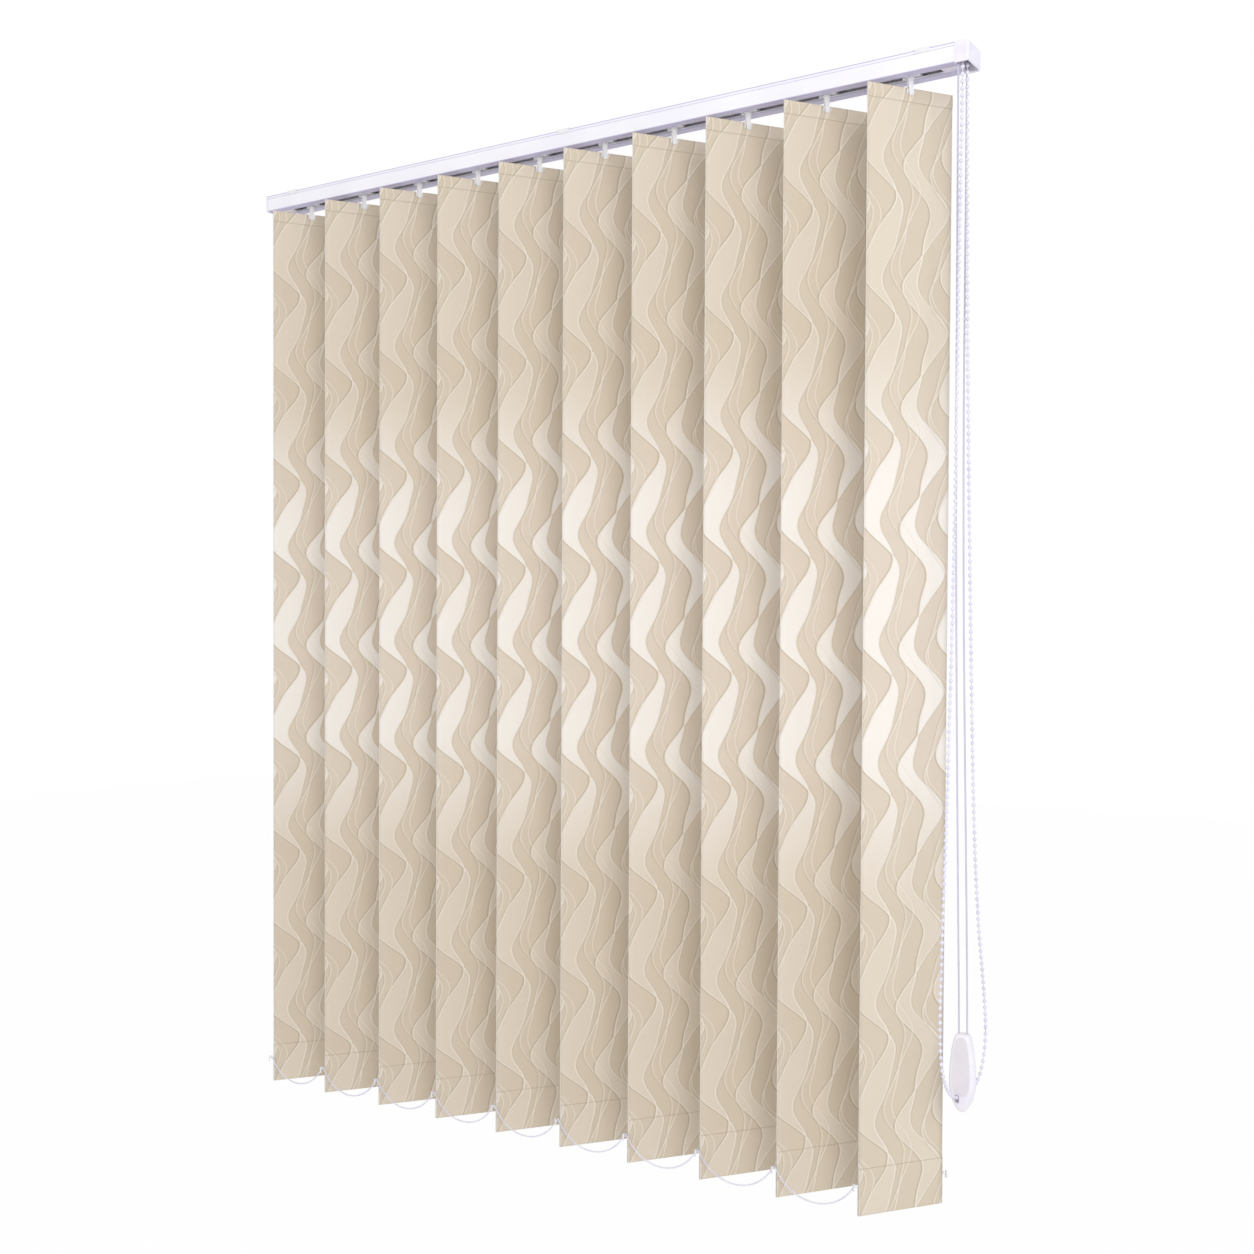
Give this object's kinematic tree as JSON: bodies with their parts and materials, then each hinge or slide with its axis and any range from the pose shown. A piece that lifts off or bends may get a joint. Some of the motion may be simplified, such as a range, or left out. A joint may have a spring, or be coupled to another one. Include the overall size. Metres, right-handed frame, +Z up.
{
  "type": "vertical blind",
  "caption": "Vertical blind: patterned fabric louvres hung from a slotted ceiling headrail, with stabiliser chains, a tilt chain and a draw cord.",
  "frame": {"origin": "centre of the ceiling face, on top of the middle ceiling clip and on the screw hole's axis", "axes": "+Z up, +X along the headrail to the control end, -Y faces the room"},
  "size_m": [1.2454, 0.1707, 1.489],
  "materials": {
    "rail_coating": "white powder coating",
    "cap_plastic": "white moulded plastic",
    "clip_steel": "white painted spring steel",
    "rod_aluminium": "drawn aluminium",
    "drive_plastic": "natural acetal",
    "weight_plastic": "white moulded plastic",
    "cord": "white braided polyester",
    "chain_plastic": "white plastic beads",
    "truck_plastic": "white moulded plastic",
    "hook_plastic": "white moulded plastic",
    "louvre_fabric": "beige jacquard weave with paler leaf waves",
    "plate_plastic": "white moulded plastic"
  },
  "bodies": {
    "headrail_assembly": {"headrail": "rail_coating", "idle_end_cap": "cap_plastic", "control_housing": "cap_plastic", "ceiling_clip_1": "clip_steel", "ceiling_clip_2": "clip_steel", "ceiling_clip_3": "clip_steel", "cord_weight": "weight_plastic", "draw_cord": "cord", "control_chain": "chain_plastic", "carrier_10": "truck_plastic"},
    "truck_01": {"carrier_01": "truck_plastic"},
    "truck_02": {"carrier_02": "truck_plastic"},
    "truck_03": {"carrier_03": "truck_plastic"},
    "truck_04": {"carrier_04": "truck_plastic"},
    "truck_05": {"carrier_05": "truck_plastic"},
    "truck_06": {"carrier_06": "truck_plastic"},
    "truck_07": {"carrier_07": "truck_plastic"},
    "truck_08": {"carrier_08": "truck_plastic"},
    "truck_09": {"carrier_09": "truck_plastic"},
    "hung_louvre_10": {"hanger_10": "hook_plastic", "louvre_10": "louvre_fabric", "bottom_weight_10": "plate_plastic"},
    "hung_louvre_09": {"hanger_09": "hook_plastic", "louvre_09": "louvre_fabric", "bottom_weight_09": "plate_plastic"},
    "hung_louvre_08": {"hanger_08": "hook_plastic", "louvre_08": "louvre_fabric", "bottom_weight_08": "plate_plastic"},
    "hung_louvre_07": {"hanger_07": "hook_plastic", "louvre_07": "louvre_fabric", "bottom_weight_07": "plate_plastic"},
    "hung_louvre_06": {"hanger_06": "hook_plastic", "louvre_06": "louvre_fabric", "bottom_weight_06": "plate_plastic"},
    "hung_louvre_05": {"hanger_05": "hook_plastic", "louvre_05": "louvre_fabric", "bottom_weight_05": "plate_plastic"},
    "hung_louvre_04": {"hanger_04": "hook_plastic", "louvre_04": "louvre_fabric", "bottom_weight_04": "plate_plastic"},
    "hung_louvre_03": {"hanger_03": "hook_plastic", "louvre_03": "louvre_fabric", "bottom_weight_03": "plate_plastic"},
    "hung_louvre_02": {"hanger_02": "hook_plastic", "louvre_02": "louvre_fabric", "bottom_weight_02": "plate_plastic"},
    "hung_louvre_01": {"hanger_01": "hook_plastic", "louvre_01": "louvre_fabric", "bottom_weight_01": "plate_plastic"},
    "rod_and_wheel": {"tilt_rod": "rod_aluminium", "chain_wheel": "drive_plastic"},
    "guide_front": {"guide_pulley_front": "drive_plastic"},
    "guide_back": {"guide_pulley_back": "drive_plastic"},
    "idle": {"idle_pulley": "drive_plastic"},
    "front_stabiliser": {"front_chain": "chain_plastic"},
    "back_stabiliser": {"back_chain": "chain_plastic"}
  },
  "joints": [
    {"name": "draw", "type": "slide", "parent": "headrail_assembly", "child": "truck_01", "axis": [1, 0, 0], "range_m": [0, 0.837]},
    {"name": "travel_02", "type": "slide", "parent": "headrail_assembly", "child": "truck_02", "axis": [1, 0, 0], "range_m": [0, 0.7445]},
    {"name": "travel_03", "type": "slide", "parent": "headrail_assembly", "child": "truck_03", "axis": [1, 0, 0], "range_m": [0, 0.6515]},
    {"name": "travel_04", "type": "slide", "parent": "headrail_assembly", "child": "truck_04", "axis": [1, 0, 0], "range_m": [0, 0.5585]},
    {"name": "travel_05", "type": "slide", "parent": "headrail_assembly", "child": "truck_05", "axis": [1, 0, 0], "range_m": [0, 0.4655]},
    {"name": "travel_06", "type": "slide", "parent": "headrail_assembly", "child": "truck_06", "axis": [1, 0, 0], "range_m": [0, 0.3725]},
    {"name": "travel_07", "type": "slide", "parent": "headrail_assembly", "child": "truck_07", "axis": [1, 0, 0], "range_m": [0, 0.2795]},
    {"name": "travel_08", "type": "slide", "parent": "headrail_assembly", "child": "truck_08", "axis": [1, 0, 0], "range_m": [0, 0.1865]},
    {"name": "travel_09", "type": "slide", "parent": "headrail_assembly", "child": "truck_09", "axis": [1, 0, 0], "range_m": [0, 0.0935]},
    {"name": "tilt", "type": "hinge", "parent": "headrail_assembly", "child": "hung_louvre_10", "pos_m": [0.531, 0, -0.03], "axis": [0, 0, 1], "range_deg": [-45, 115]},
    {"name": "turn_09", "type": "hinge", "parent": "truck_09", "child": "hung_louvre_09", "pos_m": [0.413, 0, -0.03], "axis": [0, 0, 1], "range_deg": [-45, 115]},
    {"name": "turn_08", "type": "hinge", "parent": "truck_08", "child": "hung_louvre_08", "pos_m": [0.295, 0, -0.03], "axis": [0, 0, 1], "range_deg": [-45, 115]},
    {"name": "turn_07", "type": "hinge", "parent": "truck_07", "child": "hung_louvre_07", "pos_m": [0.177, 0, -0.03], "axis": [0, 0, 1], "range_deg": [-45, 115]},
    {"name": "turn_06", "type": "hinge", "parent": "truck_06", "child": "hung_louvre_06", "pos_m": [0.059, 0, -0.03], "axis": [0, 0, 1], "range_deg": [-45, 115]},
    {"name": "turn_05", "type": "hinge", "parent": "truck_05", "child": "hung_louvre_05", "pos_m": [-0.059, 0, -0.03], "axis": [0, 0, 1], "range_deg": [-45, 115]},
    {"name": "turn_04", "type": "hinge", "parent": "truck_04", "child": "hung_louvre_04", "pos_m": [-0.177, 0, -0.03], "axis": [0, 0, 1], "range_deg": [-45, 115]},
    {"name": "turn_03", "type": "hinge", "parent": "truck_03", "child": "hung_louvre_03", "pos_m": [-0.295, 0, -0.03], "axis": [0, 0, 1], "range_deg": [-45, 115]},
    {"name": "turn_02", "type": "hinge", "parent": "truck_02", "child": "hung_louvre_02", "pos_m": [-0.413, 0, -0.03], "axis": [0, 0, 1], "range_deg": [-45, 115]},
    {"name": "turn_01", "type": "hinge", "parent": "truck_01", "child": "hung_louvre_01", "pos_m": [-0.531, 0, -0.03], "axis": [0, 0, 1], "range_deg": [-45, 115]},
    {"name": "rod_turn", "type": "hinge", "parent": "headrail_assembly", "child": "rod_and_wheel", "pos_m": [0, -0.009, -0.015], "axis": [1, 0, 0], "range_deg": [-450, 1150]},
    {"name": "guide_front_turn", "type": "hinge", "parent": "headrail_assembly", "child": "guide_front", "pos_m": [0.5945, -0.015, -0.014], "axis": [0, 1, 0], "range_deg": [0, 7993.8]},
    {"name": "guide_back_turn", "type": "hinge", "parent": "headrail_assembly", "child": "guide_back", "pos_m": [0.5945, 0.015, -0.014], "axis": [0, 1, 0], "range_deg": [-7993.8, 0]},
    {"name": "idle_turn", "type": "hinge", "parent": "headrail_assembly", "child": "idle", "pos_m": [-0.5925, 0, -0.008], "axis": [0, 0, 1], "range_deg": [0, 3198.1]},
    {"name": "front_chain_swing", "type": "hinge", "parent": "hung_louvre_10", "child": "front_stabiliser", "pos_m": [0.49257, -0.05488, -1.45], "axis": [0, 0, 1], "range_deg": [-115, 45], "deforming": ["front_chain"]},
    {"name": "back_chain_swing", "type": "hinge", "parent": "hung_louvre_10", "child": "back_stabiliser", "pos_m": [0.56943, 0.05488, -1.45], "axis": [0, 0, 1], "range_deg": [-115, 45], "deforming": ["back_chain"]}
  ],
  "couplings": [
    {"joint": "travel_02", "follows": "draw", "ratio": 0.88889},
    {"joint": "travel_03", "follows": "draw", "ratio": 0.77778},
    {"joint": "travel_04", "follows": "draw", "ratio": 0.66667},
    {"joint": "travel_05", "follows": "draw", "ratio": 0.55556},
    {"joint": "travel_06", "follows": "draw", "ratio": 0.44444},
    {"joint": "travel_07", "follows": "draw", "ratio": 0.33333},
    {"joint": "travel_08", "follows": "draw", "ratio": 0.22222},
    {"joint": "travel_09", "follows": "draw", "ratio": 0.11111},
    {"joint": "turn_09", "follows": "tilt", "ratio": 1},
    {"joint": "turn_08", "follows": "tilt", "ratio": 1},
    {"joint": "turn_07", "follows": "tilt", "ratio": 1},
    {"joint": "turn_06", "follows": "tilt", "ratio": 1},
    {"joint": "turn_05", "follows": "tilt", "ratio": 1},
    {"joint": "turn_04", "follows": "tilt", "ratio": 1},
    {"joint": "turn_03", "follows": "tilt", "ratio": 1},
    {"joint": "turn_02", "follows": "tilt", "ratio": 1},
    {"joint": "turn_01", "follows": "tilt", "ratio": 1},
    {"joint": "rod_turn", "follows": "tilt", "ratio": 10},
    {"joint": "guide_front_turn", "follows": "draw", "rad_per_m": 166.67},
    {"joint": "guide_back_turn", "follows": "draw", "rad_per_m": -166.67},
    {"joint": "idle_turn", "follows": "draw", "rad_per_m": 66.667},
    {"joint": "front_chain_swing", "follows": "tilt", "ratio": -1},
    {"joint": "back_chain_swing", "follows": "tilt", "ratio": -1}
  ]
}
